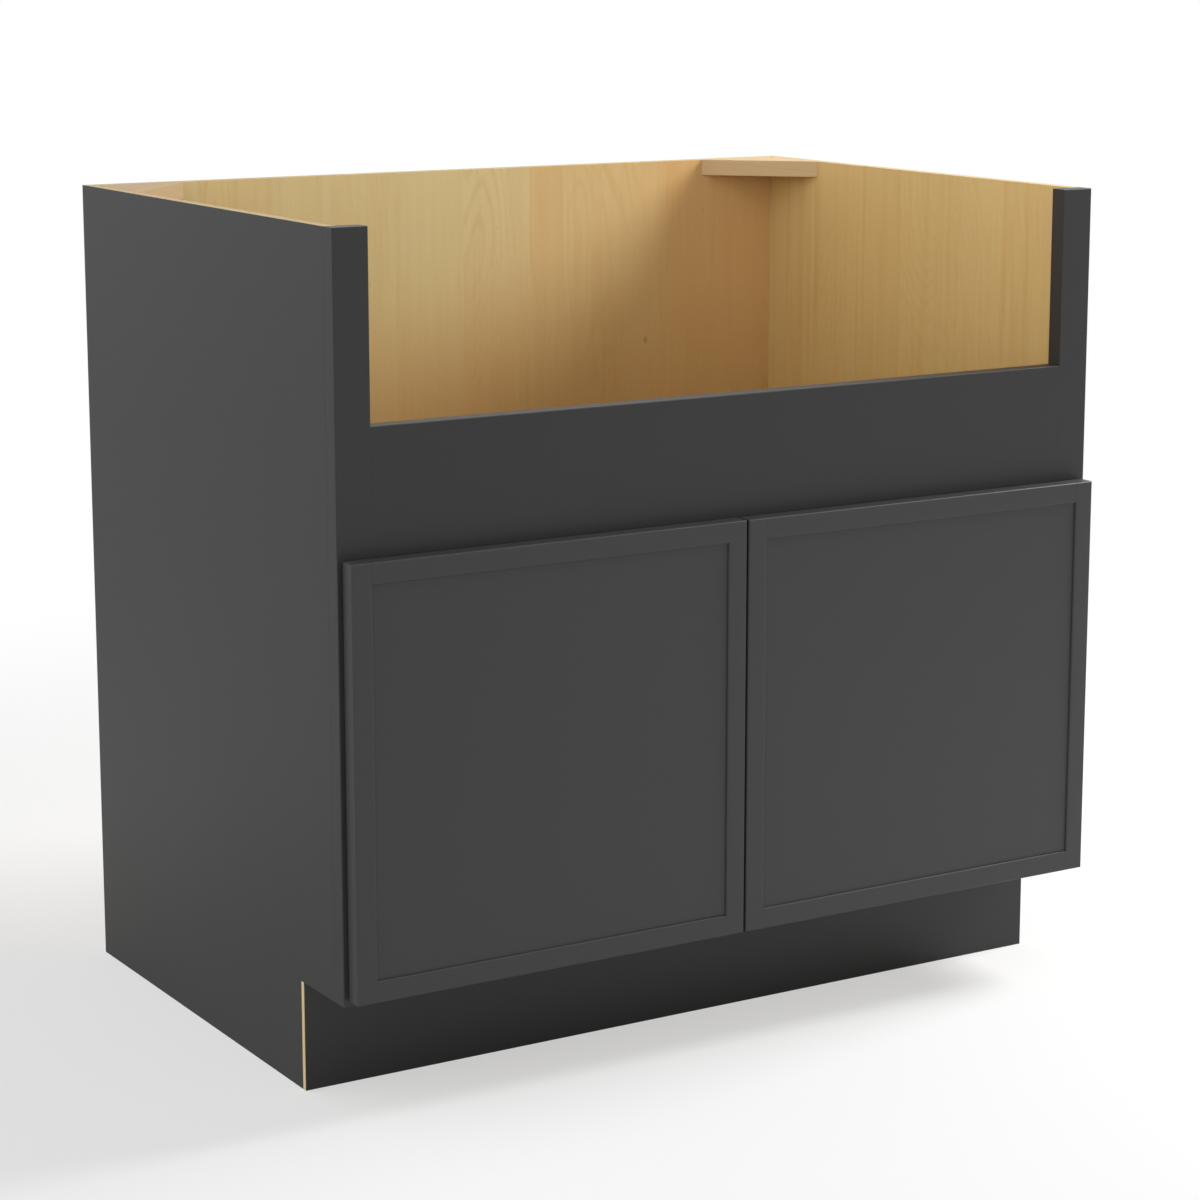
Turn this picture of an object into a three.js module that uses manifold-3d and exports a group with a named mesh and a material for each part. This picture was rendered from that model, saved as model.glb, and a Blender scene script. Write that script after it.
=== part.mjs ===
// Sink base cabinet for an apron-front sink: a face-framed plywood box on a recessed toe
// kick, with a wide cut-out in the front above two full-overlay doors with slim frames.
// Each door hangs on two concealed cup hinges, built from arm, two links and cup.
//
// Millimetres, +Z up, +X to the right, the front faces -Y. While the pieces are worked out,
// y = 0 is the front plane of the face frame and z = 0 is the floor. The whole group is then
// moved along Y, so that the origin is the middle of the footprint, on the floor.

import * as THREE from 'three';
import { mergeVertices } from 'three/addons/utils/BufferGeometryUtils.js';
import Module from 'manifold-3d';

const wasm = await Module();
wasm.setup();

// ---------------------------------------------------------------- driving dimensions

// the box
const CABINET_WIDTH = 914.4;
const CABINET_DEPTH = 609.6; // from the back to the front of the face frame
const CABINET_HEIGHT = 876.3;
const SIDE_THICKNESS = 12.7;
const BACK_THICKNESS = 12.7;
const BOTTOM_THICKNESS = 12.7;

// the face frame
const FRAME_THICKNESS = 19.05;
const STILE_WIDTH = 38.1;
const BOTTOM_RAIL_WIDTH = 38.1;
const CUTOUT_DEPTH = 190.5; // the sink's apron fills it, from the top of the cabinet down
const APRON_RAIL_WIDTH = 158.75;

// the toe kick
const TOE_HEIGHT = 114.3;
const TOE_RECESS = 88.9; // from the face frame's front to the skin's front
const TOE_SKIN_THICKNESS = 6.35;
const TOE_BACKER_THICKNESS = 12.7;

// the triangular blocks in the two back corners
const BLOCK_LEG = 101.6;
const BLOCK_THICKNESS = 19.05;
const BLOCK_CLIP = 12;

// the doors
const DOOR_THICKNESS = 19.05;
const DOOR_STANDOFF = 2; // between a door's back and the face frame
const DOOR_SIDE_REVEAL = 4.8; // frame left showing beside a door
const DOOR_BOTTOM_REVEAL = 6.35;
const DOOR_TOP_OVERLAY = 31.75; // a door's lap over the apron rail
const DOOR_CENTRE_GAP = 2.4;
const SLIM_FRAME_WIDTH = 22.2; // what shows of a door's stiles and rails
const SLIM_FRAME_LIP = 8; // how far they lap over the panel
const PANEL_RECESS = 2.5;
const PANEL_FIT = 0.3; // round the panel, in its rabbet

// the bumpers behind each door's free corners
const BUMPER_RADIUS = 4;
const BUMPER_INSET = 7; // from the door's edges to the bumper's middle
const BUMPER_SEAT_GAP = 0.3; // between bumper and face frame
const BUMPER_SIDE = [ // from its foot to its top, in shares of its radius and height
  [1, 0.35],
  [0.85, 0.75],
  [0.5, 1],
];

// the cup hinges
const HINGE_INSET = 76.2; // from a door's top or bottom to the hinge
const CUP_SETBACK = 23.2; // from the door's edge to the middle of the cup
const CUP_RADIUS = 17.3;
const CUP_WALL = 0.9;
const CUP_DEPTH = 11.8; // below the door's back
const CUP_FIT = 0.3; // round and under the cup, in its bore
const CUP_RELIEF_DEPTH = 1.8; // of the slots in the cup's rim that the links pass through
const CUP_RELIEF_FIT = 0.6;
const FLANGE_THICKNESS = 1.2;
const FLANGE_HALF_WIDTH = 11;
const FLANGE_MARGIN = 1; // round the heads of the cup screws
const CUP_SCREW_SPACING = 48;
const CUP_SCREW_OFFSET = 6; // from the middle of the cup, away from the door's edge

const PIN_RADIUS = 1;
const PIN_FIT = 0.25; // round a pin, in the eye of its link
const OUTER_LINK_HALF_WIDTH = 2;
const INNER_LINK_HALF_WIDTH = 1.5;
const EYE_RADIUS = 2; // of the inner link's eye
const INNER_LINK_HALF_HEIGHT = 5.2;
const OUTER_LINK_HEIGHTS = [5.6, 7.4]; // from and to, above and below the hinge's middle
const ARM_CHEEK_HEIGHTS = [7.7, 9.3];
const ARM_HALF_WIDTH = 2.2;

// hinge points: first value from the door's edge, or from the stile's inner edge, towards
// the middle of the cabinet; second value in front of (-) or behind (+) the frame's front
const CUP_PIN = { fromEdge: 15.35, y: -6.64 };
const OUTER_LINK_ELBOW = { fromEdge: 28.64, y: -10.23 };
const INNER_LINK_CUP_END = { fromEdge: 19.81, y: -4.32 };
const ARM_PIN = { fromStile: 10.79, y: 7.03 };
const INNER_LINK_ELBOW = { fromEdge: 23.75, y: -7.02 };
const INNER_LINK_ARM_PIN = { fromStile: 37.06, y: 13.68 };

// the plate that holds the arm on the stile's inner edge
const PLATE_THICKNESS = 2;
const PLATE_HALF_HEIGHT = 25;
const PLATE_EDGE_MARGIN = 1.5; // of stile edge left in front of and behind the plate
const PLATE_SCREW_SPACING = 36;

const SCREW_RADIUS = 1.9;
const SCREW_HEAD_RADIUS = 3.6;
const CUP_SCREW_HEAD_HEIGHT = 0.5; // low, to stay clear of the face frame
const PLATE_SCREW_HEAD_HEIGHT = 1.4;
const SCREW_FIT = 0.3;
const CUP_SCREW_LENGTH = 10;
const PLATE_SCREW_LENGTH = 20;
const SCREW_HEAD_SIDE = [ // from its top to its seat, in shares of its radius and height
  [0.7, 1],
  [1, 0.4],
];
const SCREW_POINT_SHARE = 0.2; // of a screw's length

const ROUND_STEPS = 24; // sides of a cup or its bore
const SMALL_ROUND_STEPS = 12; // sides of a pin, an eye or a screw
const CUT_OVERRUN = 1; // how far a cut starts or ends outside the piece that it is made in

// ---------------------------------------------------------------- places worked out

const SIDE_OUT = CABINET_WIDTH / 2;
const SIDE_IN = SIDE_OUT - SIDE_THICKNESS;
const BACK_IN = CABINET_DEPTH - BACK_THICKNESS;
const STILE_IN = SIDE_OUT - STILE_WIDTH;

const CUTOUT_BOTTOM = CABINET_HEIGHT - CUTOUT_DEPTH;
const APRON_BOTTOM = CUTOUT_BOTTOM - APRON_RAIL_WIDTH;
const DECK_TOP = TOE_HEIGHT + BOTTOM_RAIL_WIDTH;
const DECK_UNDERSIDE = DECK_TOP - BOTTOM_THICKNESS;
const TOE_SKIN_BACK = TOE_RECESS + TOE_SKIN_THICKNESS;

const DOOR_BACK = -DOOR_STANDOFF;
const DOOR_FRONT = DOOR_BACK - DOOR_THICKNESS;
const DOOR_OUT = SIDE_OUT - DOOR_SIDE_REVEAL;
const DOOR_IN = DOOR_CENTRE_GAP / 2;
const DOOR_LOW = TOE_HEIGHT + DOOR_BOTTOM_REVEAL;
const DOOR_HIGH = APRON_BOTTOM + DOOR_TOP_OVERLAY;
const RABBET_WALL = SLIM_FRAME_WIDTH - SLIM_FRAME_LIP;
const PANEL_FRONT = DOOR_FRONT + PANEL_RECESS;

const CUP_CENTRE = DOOR_OUT - CUP_SETBACK;
const FLANGE_BACK = DOOR_BACK + FLANGE_THICKNESS;
const CUP_BOTTOM = DOOR_BACK - CUP_DEPTH;
const CUP_SCREW_X = CUP_CENTRE - CUP_SCREW_OFFSET;
const PLATE_FRONT = PLATE_EDGE_MARGIN;
const PLATE_BACK = FRAME_THICKNESS - PLATE_EDGE_MARGIN;
const PLATE_IN = STILE_IN - PLATE_THICKNESS;
const PLATE_SCREW_Y = (PLATE_FRONT + PLATE_BACK) / 2;
const HINGE_HEIGHTS = { lower: DOOR_LOW + HINGE_INSET, upper: DOOR_HIGH - HINGE_INSET };

const ORIGIN_Y = (CABINET_DEPTH + DOOR_FRONT) / 2;

// the left half of the cabinet lies at -X, the right half at +X
const SIDES = { left: -1, right: 1 };

// ---------------------------------------------------------------- finishes

const finish = (color, roughness, metalness = 0) =>
  new THREE.MeshStandardMaterial({ color, roughness, metalness });

const charcoalPaint = finish(0x424243, 0.5);
const maplePly = finish(0xc9ab74, 0.55);
const solidMaple = finish(0xb89270, 0.6);
const hingeSteel = finish(0xb9babc, 0.3, 1);
const screwSteel = finish(0x9c9da0, 0.35, 1);
const clearRubber = finish(0xcfd2d2, 0.4);

// ---------------------------------------------------------------- making shapes

/** A block between two x, two y and two z values, given in either order. */
function block([xa, xb], [ya, yb], [za, zb]) {
  const geometry = new THREE.BoxGeometry(1, 1, 1);
  const position = geometry.getAttribute('position');
  for (let i = 0; i < position.count; i += 1) {
    position.setXYZ(
      i,
      position.getX(i) < 0 ? Math.min(xa, xb) : Math.max(xa, xb),
      position.getY(i) < 0 ? Math.min(ya, yb) : Math.max(ya, yb),
      position.getZ(i) < 0 ? Math.min(za, zb) : Math.max(za, zb),
    );
  }
  return geometry;
}

function outline(points) {
  return new THREE.Shape(points.map(([u, v]) => new THREE.Vector2(u, v)));
}

/** An outline of [x, y] points, raised from one height to another. */
function uprightPrism(points, zLow, zHigh) {
  const geometry = new THREE.ExtrudeGeometry(outline(points), {
    depth: zHigh - zLow,
    bevelEnabled: false,
  });
  return geometry.translate(0, 0, zLow);
}

/** An outline of [y, z] points, run along X. */
function lengthwisePrism(points, [xa, xb]) {
  const xLow = Math.min(xa, xb);
  const geometry = new THREE.ExtrudeGeometry(outline(points), {
    depth: Math.abs(xb - xa),
    bevelEnabled: false,
  });
  const yzxAxes = new THREE.Matrix4().set(0, 0, 1, xLow, 1, 0, 0, 0, 0, 1, 0, 0, 0, 0, 0, 1);
  return geometry.applyMatrix4(yzxAxes);
}

/** A cylinder from point a to point b. */
function rod(a, b, radius, steps = SMALL_ROUND_STEPS) {
  const from = new THREE.Vector3(...a);
  const along = new THREE.Vector3(...b).sub(from);
  const geometry = new THREE.CylinderGeometry(radius, radius, along.length(), steps);
  const turn = new THREE.Quaternion().setFromUnitVectors(
    new THREE.Vector3(0, 1, 0),
    along.clone().normalize(),
  );
  return geometry.applyQuaternion(turn).translate(...from.addScaledVector(along, 0.5).toArray());
}

/** A closed three.js geometry as a solid that can be joined and cut. */
function solid(geometry) {
  const bare = geometry.clone();
  bare.deleteAttribute('normal');
  bare.deleteAttribute('uv');
  const merged = mergeVertices(bare, 1e-4);
  return new wasm.Manifold(
    new wasm.Mesh({
      numProp: 3,
      vertProperties: new Float32Array(merged.getAttribute('position').array),
      triVerts: new Uint32Array(merged.getIndex().array),
    }),
  );
}

/** Joins the shapes in `add`, then takes away those in `cut`. */
function shaped({ add, cut = [] }) {
  let body = solid(add[0]);
  for (const more of add.slice(1)) body = body.add(solid(more));
  for (const less of cut) body = body.subtract(solid(less));
  const { vertProperties, triVerts } = body.getMesh();
  const geometry = new THREE.BufferGeometry();
  geometry.setAttribute('position', new THREE.BufferAttribute(vertProperties, 3));
  geometry.setIndex(new THREE.BufferAttribute(triVerts, 1));
  const faceted = geometry.toNonIndexed();
  faceted.computeVertexNormals();
  return faceted;
}

function piece(name, geometry, material) {
  const mesh = new THREE.Mesh(geometry, material);
  mesh.name = name;
  return mesh;
}

// ---------------------------------------------------------------- the box

/** A side panel, notched at its lower front corner for the toe kick. */
function sidePanel(side) {
  const profile = [
    [FRAME_THICKNESS, TOE_HEIGHT],
    [TOE_SKIN_BACK, TOE_HEIGHT],
    [TOE_SKIN_BACK, 0],
    [CABINET_DEPTH, 0],
    [CABINET_DEPTH, CABINET_HEIGHT],
    [FRAME_THICKNESS, CABINET_HEIGHT],
  ];
  return lengthwisePrism(profile, [side * SIDE_IN, side * SIDE_OUT]);
}

/** A triangular block, flush with the panel tops, its hidden corner clipped off. */
function cornerBlock(side) {
  const points = [
    [side * (SIDE_IN - BLOCK_LEG), BACK_IN],
    [side * (SIDE_IN - BLOCK_CLIP), BACK_IN],
    [side * SIDE_IN, BACK_IN - BLOCK_CLIP],
    [side * SIDE_IN, BACK_IN - BLOCK_LEG],
  ];
  return uprightPrism(points, CABINET_HEIGHT - BLOCK_THICKNESS, CABINET_HEIGHT);
}

function makeBox() {
  const box = new THREE.Group();
  const inside = [-SIDE_IN, SIDE_IN];
  for (const [word, side] of Object.entries(SIDES)) {
    box.add(piece(`side_panel_${word}`, sidePanel(side), charcoalPaint));
    box.add(piece(`corner_block_back_${word}`, cornerBlock(side), solidMaple));
  }
  box.add(
    piece('back_panel', block(inside, [BACK_IN, CABINET_DEPTH], [0, CABINET_HEIGHT]), maplePly),
    piece(
      'bottom_panel',
      block(inside, [FRAME_THICKNESS, BACK_IN], [DECK_UNDERSIDE, DECK_TOP]),
      maplePly,
    ),
    piece(
      'toe_kick_backer',
      block(inside, [TOE_SKIN_BACK, TOE_SKIN_BACK + TOE_BACKER_THICKNESS], [0, DECK_UNDERSIDE]),
      maplePly,
    ),
    piece(
      'toe_kick_skin',
      block([-SIDE_OUT, SIDE_OUT], [TOE_RECESS, TOE_SKIN_BACK], [0, TOE_HEIGHT]),
      charcoalPaint,
    ),
  );
  return box;
}

// ---------------------------------------------------------------- the face frame

/** The heights of the screws that hold hinge plates on a stile. */
function plateScrewHeights() {
  return Object.values(HINGE_HEIGHTS).flatMap((z) => [
    z - PLATE_SCREW_SPACING / 2,
    z + PLATE_SCREW_SPACING / 2,
  ]);
}

function frameStile(side) {
  const stile = block(
    [side * STILE_IN, side * SIDE_OUT],
    [0, FRAME_THICKNESS],
    [TOE_HEIGHT, CABINET_HEIGHT],
  );
  const holes = plateScrewHeights().map((z) =>
    rod(
      [side * (STILE_IN - CUT_OVERRUN), PLATE_SCREW_Y, z],
      [side * (PLATE_IN + PLATE_SCREW_LENGTH + SCREW_FIT), PLATE_SCREW_Y, z],
      SCREW_RADIUS + SCREW_FIT,
    ),
  );
  return shaped({ add: [stile], cut: holes });
}

function makeFaceFrame() {
  const faceFrame = new THREE.Group();
  const between = [-STILE_IN, STILE_IN];
  const thickness = [0, FRAME_THICKNESS];
  for (const [word, side] of Object.entries(SIDES)) {
    faceFrame.add(piece(`frame_stile_${word}`, frameStile(side), charcoalPaint));
  }
  faceFrame.add(
    piece('apron_rail', block(between, thickness, [APRON_BOTTOM, CUTOUT_BOTTOM]), charcoalPaint),
    piece('frame_bottom_rail', block(between, thickness, [TOE_HEIGHT, DECK_TOP]), charcoalPaint),
  );
  return faceFrame;
}

// ---------------------------------------------------------------- a door

/** The bore that a cup drops into, cut from the door's back. */
function cupBore(side, z) {
  return rod(
    [side * CUP_CENTRE, DOOR_BACK + CUT_OVERRUN, z],
    [side * CUP_CENTRE, CUP_BOTTOM - CUP_FIT, z],
    CUP_RADIUS + CUP_FIT,
    ROUND_STEPS,
  );
}

/** The heights of a hinge's cup screws, for a hinge at height z. */
const cupScrewHeights = (z) => [z - CUP_SCREW_SPACING / 2, z + CUP_SCREW_SPACING / 2];

/** The pilot hole of one cup screw. */
function cupScrewHole(side, z) {
  return rod(
    [side * CUP_SCREW_X, DOOR_BACK + CUT_OVERRUN, z],
    [side * CUP_SCREW_X, FLANGE_BACK - CUP_SCREW_LENGTH - SCREW_FIT, z],
    SCREW_RADIUS + SCREW_FIT,
  );
}

/** A door stile: an L in plan, whose lip laps over the panel's front. */
function doorStile(side, edge, inward) {
  const plan = [
    [edge, DOOR_FRONT],
    [edge, DOOR_BACK],
    [edge + inward * RABBET_WALL, DOOR_BACK],
    [edge + inward * RABBET_WALL, PANEL_FRONT],
    [edge + inward * SLIM_FRAME_WIDTH, PANEL_FRONT],
    [edge + inward * SLIM_FRAME_WIDTH, DOOR_FRONT],
  ].map(([x, y]) => [side * x, y]);
  return uprightPrism(plan, DOOR_LOW, DOOR_HIGH);
}

/** A door rail: the same L on its side, between the stiles and coped round their lips. */
function doorRail(side, edge, inward) {
  const section = [
    [DOOR_FRONT, edge],
    [DOOR_BACK, edge],
    [DOOR_BACK, edge + inward * RABBET_WALL],
    [PANEL_FRONT, edge + inward * RABBET_WALL],
    [PANEL_FRONT, edge + inward * SLIM_FRAME_WIDTH],
    [DOOR_FRONT, edge + inward * SLIM_FRAME_WIDTH],
  ];
  const ends = [DOOR_IN + RABBET_WALL, DOOR_OUT - RABBET_WALL];
  const lips = [
    [DOOR_IN, DOOR_IN + SLIM_FRAME_WIDTH],
    [DOOR_OUT - SLIM_FRAME_WIDTH, DOOR_OUT],
  ];
  return shaped({
    add: [lengthwisePrism(section, ends.map((x) => side * x))],
    cut: lips.map((lip) =>
      block(
        lip.map((x) => side * x),
        [DOOR_FRONT - CUT_OVERRUN, PANEL_FRONT],
        [DOOR_LOW - CUT_OVERRUN, DOOR_HIGH + CUT_OVERRUN],
      ),
    ),
  });
}

function doorPanel(side, hingeHeights) {
  const inset = RABBET_WALL + PANEL_FIT;
  const panel = block(
    [side * (DOOR_IN + inset), side * (DOOR_OUT - inset)],
    [PANEL_FRONT, DOOR_BACK],
    [DOOR_LOW + inset, DOOR_HIGH - inset],
  );
  const bores = hingeHeights.map((z) => cupBore(side, z));
  const pilots = hingeHeights.flatMap(cupScrewHeights).map((z) => cupScrewHole(side, z));
  return shaped({ add: [panel], cut: [...bores, ...pilots] });
}

/** A soft dome stuck on the door's back, which meets the face frame when the door shuts. */
function bumper(x, z) {
  const height = DOOR_STANDOFF - BUMPER_SEAT_GAP;
  const profile = [
    [0, 0],
    [BUMPER_RADIUS, 0],
    ...BUMPER_SIDE.map(([out, up]) => [BUMPER_RADIUS * out, height * up]),
    [0, height],
  ].map(([r, y]) => new THREE.Vector2(r, y));
  return new THREE.LatheGeometry(profile, SMALL_ROUND_STEPS).translate(x, DOOR_BACK, z);
}

function makeDoor(word, side) {
  const door = new THREE.Group();
  const hingeHeights = Object.values(HINGE_HEIGHTS);
  const hingeStile = shaped({
    add: [doorStile(side, DOOR_OUT, -1)],
    cut: hingeHeights.map((z) => cupBore(side, z)),
  });
  door.add(
    piece(`${word}_door_hinge_stile`, hingeStile, charcoalPaint),
    piece(`${word}_door_meeting_stile`, doorStile(side, DOOR_IN, 1), charcoalPaint),
    piece(`${word}_door_top_rail`, doorRail(side, DOOR_HIGH, -1), charcoalPaint),
    piece(`${word}_door_bottom_rail`, doorRail(side, DOOR_LOW, 1), charcoalPaint),
    piece(`${word}_door_panel`, doorPanel(side, hingeHeights), charcoalPaint),
  );
  const bumperX = side * (DOOR_IN + BUMPER_INSET);
  door.add(
    piece(`${word}_upper_bumper`, bumper(bumperX, DOOR_HIGH - BUMPER_INSET), clearRubber),
    piece(`${word}_lower_bumper`, bumper(bumperX, DOOR_LOW + BUMPER_INSET), clearRubber),
  );
  return door;
}

// ---------------------------------------------------------------- a cup hinge

const fromEdge = ({ fromEdge: distance, y }) => [DOOR_OUT - distance, y];
const fromStile = ({ fromStile: distance, y }) => [STILE_IN - distance, y];

/** A strap of even width through points in plan, with round ends and elbows. */
function strap(side, points, halfWidth, [zLow, zHigh]) {
  const parts = [];
  points.forEach(([x, y], i) => {
    parts.push(rod([side * x, y, zLow], [side * x, y, zHigh], halfWidth, SMALL_ROUND_STEPS));
    if (i === 0) return;
    const [px, py] = points[i - 1];
    const length = Math.hypot(x - px, y - py);
    const nx = (-(y - py) / length) * halfWidth;
    const ny = ((x - px) / length) * halfWidth;
    const corners = [
      [px + nx, py + ny],
      [x + nx, y + ny],
      [x - nx, y - ny],
      [px - nx, py - ny],
    ].map(([cx, cy]) => [side * cx, cy]);
    parts.push(uprightPrism(corners, zLow, zHigh));
  });
  return parts;
}

/** An upright pin, or the eye for it, centred on height z. */
function uprightPin(side, [x, y], z, halfLength, radius) {
  return rod([side * x, y, z - halfLength], [side * x, y, z + halfLength], radius);
}

/** The steel cup with its flange, and the pin across it that the outer link turns on. */
function hingeCup(side, z) {
  const inner = CUP_RADIUS - CUP_WALL;
  const profile = [
    [0, CUP_BOTTOM],
    [CUP_RADIUS, CUP_BOTTOM],
    [CUP_RADIUS, FLANGE_BACK],
    [inner, FLANGE_BACK],
    [inner, CUP_BOTTOM + CUP_WALL],
    [0, CUP_BOTTOM + CUP_WALL],
  ].map(([r, y]) => new THREE.Vector2(r, y));
  const cup = new THREE.LatheGeometry(profile, ROUND_STEPS).translate(side * CUP_CENTRE, 0, z);
  const earReach = CUP_SCREW_SPACING / 2 + SCREW_HEAD_RADIUS + FLANGE_MARGIN;
  const flange = block(
    [
      side * (CUP_SCREW_X - SCREW_HEAD_RADIUS - FLANGE_MARGIN),
      side * (CUP_CENTRE + FLANGE_HALF_WIDTH),
    ],
    [DOOR_BACK, FLANGE_BACK],
    [z - earReach, z + earReach],
  );
  const hollow = rod(
    [side * CUP_CENTRE, CUP_BOTTOM + CUP_WALL, z],
    [side * CUP_CENTRE, FLANGE_BACK + CUT_OVERRUN, z],
    inner,
    ROUND_STEPS,
  );
  const pinPlace = fromEdge(CUP_PIN);
  const pinReach = Math.sqrt((CUP_RADIUS - CUP_WALL / 2) ** 2 - (pinPlace[0] - CUP_CENTRE) ** 2);
  const screwHoles = cupScrewHeights(z).map((screwZ) =>
    rod(
      [side * CUP_SCREW_X, DOOR_BACK - CUT_OVERRUN, screwZ],
      [side * CUP_SCREW_X, FLANGE_BACK + CUT_OVERRUN, screwZ],
      SCREW_RADIUS + SCREW_FIT,
    ),
  );
  const reliefReach = OUTER_LINK_HEIGHTS[1] + CUP_RELIEF_FIT;
  const relief = block(
    [side * (CUP_CENTRE - 2 * CUP_RADIUS), side * (CUP_CENTRE + 2 * CUP_RADIUS)],
    [DOOR_BACK - CUP_RELIEF_DEPTH, FLANGE_BACK + CUT_OVERRUN],
    [z - reliefReach, z + reliefReach],
  );
  const shell = shaped({ add: [cup, flange], cut: [hollow, relief, ...screwHoles] });
  return shaped({ add: [shell, uprightPin(side, pinPlace, z, pinReach, PIN_RADIUS)] });
}

/** The outer link: two cheeks joined by a sleeve round the arm's pin. */
function outerLink(side, z) {
  const path = [fromEdge(CUP_PIN), fromEdge(OUTER_LINK_ELBOW), fromStile(ARM_PIN)];
  const [near, far] = OUTER_LINK_HEIGHTS;
  const eyes = [path[0], path[2]].map((place) =>
    uprightPin(side, place, z, far + CUT_OVERRUN, PIN_RADIUS + PIN_FIT),
  );
  return shaped({
    add: [
      ...strap(side, path, OUTER_LINK_HALF_WIDTH, [z + near, z + far]),
      ...strap(side, path, OUTER_LINK_HALF_WIDTH, [z - far, z - near]),
      uprightPin(side, path[2], z, far, OUTER_LINK_HALF_WIDTH),
    ],
    cut: eyes,
  });
}

/** The inner link, between the outer link's cheeks. Its cup end is the open pivot. */
function innerLink(side, z) {
  const path = [
    fromEdge(INNER_LINK_CUP_END),
    fromEdge(INNER_LINK_ELBOW),
    fromStile(INNER_LINK_ARM_PIN),
  ];
  const reach = INNER_LINK_HALF_HEIGHT;
  return shaped({
    add: [
      ...strap(side, path, INNER_LINK_HALF_WIDTH, [z - reach, z + reach]),
      uprightPin(side, path[2], z, reach, EYE_RADIUS),
    ],
    cut: [uprightPin(side, path[2], z, reach + CUT_OVERRUN, PIN_RADIUS + PIN_FIT)],
  });
}

/** The arm: a plate on the stile's inner edge, two cheeks, and the links' two pins. */
function hingeArm(side, z) {
  const [near, far] = ARM_CHEEK_HEIGHTS;
  const pins = [fromStile(ARM_PIN), fromStile(INNER_LINK_ARM_PIN)];
  const root = [PLATE_IN + PLATE_THICKNESS / 2, PLATE_BACK - ARM_HALF_WIDTH];
  const plate = block(
    [side * PLATE_IN, side * STILE_IN],
    [PLATE_FRONT, PLATE_BACK],
    [z - PLATE_HALF_HEIGHT, z + PLATE_HALF_HEIGHT],
  );
  const levels = [
    [z + near, z + far],
    [z - far, z - near],
  ];
  const cheeks = levels.flatMap((level) => [
    ...strap(side, [root, pins[0]], ARM_HALF_WIDTH, level),
    ...strap(side, [pins[0], pins[1]], ARM_HALF_WIDTH, level),
    ...strap(side, [root, pins[1]], ARM_HALF_WIDTH, level),
  ]);
  const insideStile = block(
    [side * STILE_IN, side * SIDE_OUT],
    [0, FRAME_THICKNESS],
    [z - PLATE_HALF_HEIGHT, z + PLATE_HALF_HEIGHT],
  );
  const screwHoles = [-1, 1].map((way) => {
    const screwZ = z + (way * PLATE_SCREW_SPACING) / 2;
    return rod(
      [side * (PLATE_IN - CUT_OVERRUN), PLATE_SCREW_Y, screwZ],
      [side * (STILE_IN + CUT_OVERRUN), PLATE_SCREW_Y, screwZ],
      SCREW_RADIUS + SCREW_FIT,
    );
  });
  return shaped({
    add: [
      plate,
      ...cheeks,
      ...pins.map((place) => uprightPin(side, place, z, (near + far) / 2, PIN_RADIUS)),
    ],
    cut: [insideStile, ...screwHoles],
  });
}

/** A pan-head screw whose head seats at `seat` and whose shank runs along `way`. */
function screw(seat, way, length, headHeight) {
  const profile = [
    [0, -headHeight],
    ...SCREW_HEAD_SIDE.map(([out, up]) => [SCREW_HEAD_RADIUS * out, -headHeight * up]),
    [SCREW_HEAD_RADIUS, 0],
    [SCREW_RADIUS, 0],
    [SCREW_RADIUS, length * (1 - SCREW_POINT_SHARE)],
    [0, length],
  ].map(([r, y]) => new THREE.Vector2(r, y));
  const turn = new THREE.Quaternion().setFromUnitVectors(
    new THREE.Vector3(0, 1, 0),
    new THREE.Vector3(...way),
  );
  return new THREE.LatheGeometry(profile, SMALL_ROUND_STEPS)
    .applyQuaternion(turn)
    .translate(...seat);
}

function makeHinge(word, side, level, z) {
  const hinge = new THREE.Group();
  const name = `${word}_${level}_hinge`;
  hinge.add(
    piece(`${name}_cup`, hingeCup(side, z), hingeSteel),
    piece(`${name}_outer_link`, outerLink(side, z), hingeSteel),
    piece(`${name}_inner_link`, innerLink(side, z), hingeSteel),
    piece(`${name}_arm`, hingeArm(side, z), hingeSteel),
  );
  [1, -1].forEach((way, i) => {
    const cupScrew = screw(
      [side * CUP_SCREW_X, FLANGE_BACK, z + (way * CUP_SCREW_SPACING) / 2],
      [0, -1, 0],
      CUP_SCREW_LENGTH,
      CUP_SCREW_HEAD_HEIGHT,
    );
    const plateScrew = screw(
      [side * PLATE_IN, PLATE_SCREW_Y, z + (way * PLATE_SCREW_SPACING) / 2],
      [side, 0, 0],
      PLATE_SCREW_LENGTH,
      PLATE_SCREW_HEAD_HEIGHT,
    );
    hinge.add(
      piece(`${name}_cup_screw_${i + 1}`, cupScrew, screwSteel),
      piece(`${name}_arm_screw_${i + 1}`, plateScrew, screwSteel),
    );
  });
  return hinge;
}

// ---------------------------------------------------------------- the cabinet

const cabinet = new THREE.Group();
cabinet.position.y = -ORIGIN_Y;
cabinet.add(makeBox(), makeFaceFrame());
for (const [word, side] of Object.entries(SIDES)) {
  cabinet.add(makeDoor(word, side));
  for (const [level, z] of Object.entries(HINGE_HEIGHTS)) {
    cabinet.add(makeHinge(word, side, level, z));
  }
}

export default cabinet;
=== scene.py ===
# %% [markdown]
# # A sink base cabinet
# This cabinet carries an apron-front sink. It is a plywood box, painted charcoal outside and clear
# maple inside, with a solid face frame on its front. The frame is cut away at the top for the
# sink's apron, and two doors with slim frames close what is below. The solids come from a packed
# CAD model, and the cells below dress them: each board, hinge and screw is modelled again with its
# eased edges, joints and finish, in the same place and at the same size.

import math

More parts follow.
